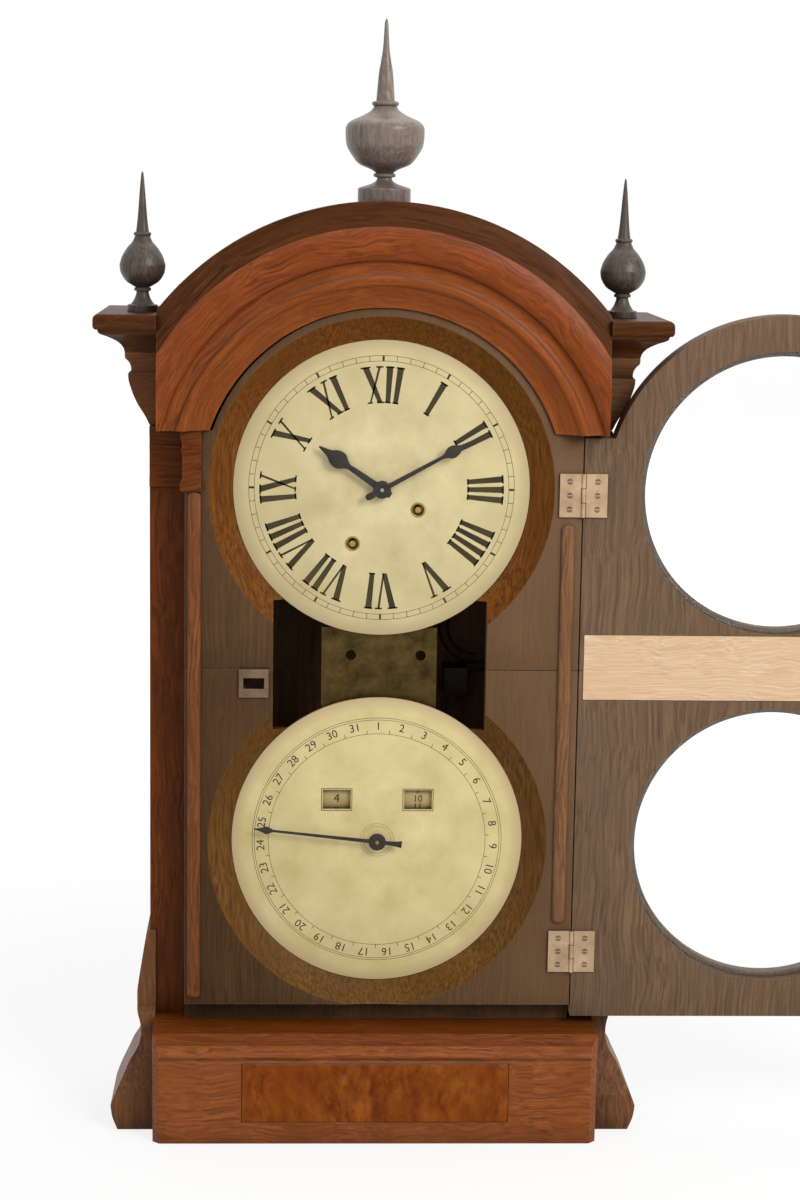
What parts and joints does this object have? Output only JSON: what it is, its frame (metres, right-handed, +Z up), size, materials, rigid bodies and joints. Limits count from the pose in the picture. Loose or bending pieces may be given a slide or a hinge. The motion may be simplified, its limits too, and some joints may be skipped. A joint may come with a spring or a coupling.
{
  "type": "calendar clock",
  "caption": "Arched wooden shelf clock with a time dial above a calendar dial, turned finials and a glazed front door hung on the right, standing open.",
  "frame": {"origin": "centre of the base's underside, at mid-depth between the base front and the back board's rear face", "axes": "+X to the right as seen from the front, -Y out of the front, +Z up"},
  "size_m": [0.6515, 0.1512, 0.8299],
  "materials": {
    "case_wood": "satin red-brown varnish",
    "burl_veneer": "satin figured veneer",
    "board_wood": "dull dark varnish",
    "door_wood": "dull dark varnish",
    "pale_wood": "bare pale wood",
    "hidden_wood": "unfinished",
    "finial_wood": "dark satin varnish",
    "dial_paint": "aged cream paint with black figures",
    "hand_steel": "blackened",
    "brass": "dull",
    "steel": "dull",
    "iron": "black",
    "roller_paper": "aged paper on a wooden core",
    "pane_glass": "clear",
    "hinge_brass": "worn"
  },
  "bodies": {
    "case": {"base_front": "case_wood", "base_burl_panel": "burl_veneer", "base_left_wing": "case_wood", "base_right_wing": "case_wood", "base_floor": "hidden_wood", "left_side": "case_wood", "right_side": "case_wood", "left_pilaster": "case_wood", "right_pilaster": "case_wood", "left_cheek": "case_wood", "right_cheek": "case_wood", "back_board": "hidden_wood", "upper_front_board": "board_wood", "lower_front_board": "board_wood", "left_bead": "case_wood", "right_bead": "case_wood", "left_impost": "case_wood", "right_impost": "case_wood", "arch_moulding": "case_wood", "roof_shell": "case_wood", "left_corbel": "case_wood", "right_corbel": "case_wood", "left_cap": "case_wood", "right_cap": "case_wood", "left_finial": "finial_wood", "right_finial": "finial_wood", "centre_finial": "finial_wood", "time_dial": "dial_paint", "calendar_dial": "dial_paint", "movement_front_plate": "brass", "movement_back_plate": "brass", "gong": "steel", "gong_block": "iron", "calendar_front_plate": "brass", "calendar_back_plate": "brass", "upper_case_leaf": "hinge_brass", "lower_case_leaf": "hinge_brass", "latch_keeper": "hinge_brass"},
    "door": {"door_upper_frame": "door_wood", "door_lower_frame": "door_wood", "door_cleat": "pale_wood", "upper_pane": "pane_glass", "lower_pane": "pane_glass", "upper_door_leaf": "hinge_brass", "lower_door_leaf": "hinge_brass"},
    "latch": {"door_latch": "hinge_brass"},
    "minute": {"minute_hand": "hand_steel", "centre_arbor": "steel"},
    "hour": {"hour_hand": "hand_steel"},
    "date": {"date_hand": "hand_steel", "date_arbor": "brass"},
    "weekday": {"weekday_roller": "roller_paper"},
    "month": {"month_roller": "roller_paper"},
    "time_winding": {"time_barrel": "brass"},
    "strike_winding": {"strike_barrel": "brass"},
    "pendulum": {"pendulum_rod": "steel", "pendulum_bob": "brass", "crutch": "steel"},
    "hammer": {"hammer": "steel"}
  },
  "joints": [
    {"name": "door_swing", "type": "hinge", "parent": "case", "child": "door", "pos_m": [0.1475, -0.047, 0], "axis": [0, 0, 1], "range_deg": [-180, 0]},
    {"name": "latch_turn", "type": "hinge", "parent": "door", "child": "latch", "pos_m": [0.388, -0.047, 0.346], "axis": [0, 1, 0], "range_deg": [0, 90]},
    {"name": "minute_turn", "type": "hinge", "parent": "case", "child": "minute", "pos_m": [0, -0.045, 0.49], "axis": [0, 1, 0], "continuous": true},
    {"name": "hour_turn", "type": "hinge", "parent": "case", "child": "hour", "pos_m": [0, -0.045, 0.49], "axis": [0, 1, 0], "continuous": true},
    {"name": "date_turn", "type": "hinge", "parent": "case", "child": "date", "pos_m": [0, -0.045, 0.224], "axis": [0, 1, 0], "continuous": true},
    {"name": "weekday_turn", "type": "hinge", "parent": "case", "child": "weekday", "pos_m": [-0.0305, -0.0178, 0.255], "axis": [1, 0, 0], "continuous": true},
    {"name": "month_turn", "type": "hinge", "parent": "case", "child": "month", "pos_m": [0.0305, -0.0178, 0.255], "axis": [1, 0, 0], "continuous": true},
    {"name": "time_winding_turn", "type": "hinge", "parent": "case", "child": "time_winding", "pos_m": [-0.021, -0.03, 0.449], "axis": [0, 1, 0], "continuous": true},
    {"name": "strike_winding_turn", "type": "hinge", "parent": "case", "child": "strike_winding", "pos_m": [0.027, -0.03, 0.4745], "axis": [0, 1, 0], "continuous": true},
    {"name": "pendulum_swing", "type": "hinge", "parent": "case", "child": "pendulum", "pos_m": [0, 0.032, 0.54], "axis": [0, 1, 0], "range_deg": [-4, 4]},
    {"name": "hammer_lift", "type": "hinge", "parent": "case", "child": "hammer", "pos_m": [0.034, 0.051, 0.44], "axis": [0, 1, 0], "range_deg": [-2, 15]}
  ],
  "couplings": [
    {"joint": "hour_turn", "follows": "minute_turn", "ratio": 0.083333},
    {"joint": "weekday_turn", "follows": "date_turn", "ratio": 4.4286},
    {"joint": "month_turn", "follows": "date_turn", "ratio": 0.083333}
  ]
}
